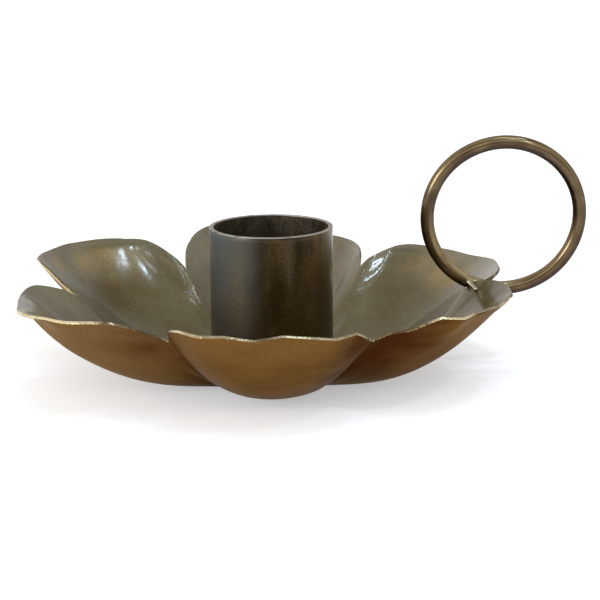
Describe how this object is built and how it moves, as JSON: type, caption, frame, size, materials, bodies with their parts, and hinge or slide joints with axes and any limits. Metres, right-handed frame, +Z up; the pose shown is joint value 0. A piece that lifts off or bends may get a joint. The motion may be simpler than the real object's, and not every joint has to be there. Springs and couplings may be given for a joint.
{
  "type": "chamberstick candle holder",
  "caption": "Low flower-shaped brass chamberstick: a pressed petal dish that catches wax, a tube cup for a dinner candle and a wire ring to carry it by.",
  "frame": {"origin": "centre of the dish's flat foot, on the axis of the candle cup, on the surface the holder stands on", "axes": "+Z up along the candle cup, +X from the cup towards the ring handle, -Y towards the petal that faces the viewer"},
  "size_m": [0.1117, 0.1018, 0.0476],
  "materials": {
    "patinated_brass": "pressed sheet with an olive brown antique patina under lacquer, bare brass on the cut edges",
    "darkened_brass": "drawn cup darkened to a deep brown, satin lacquer",
    "brass_wire": "drawn wire with a brown antique patina, satin",
    "solder": "bright soldered joint, not patinated"
  },
  "bodies": {
    "root": {"flower_dish": "patinated_brass", "candle_cup": "darkened_brass", "cup_solder_ring": "solder", "ring_handle": "brass_wire", "ring_solder_bead": "solder"}
  },
  "joints": []
}
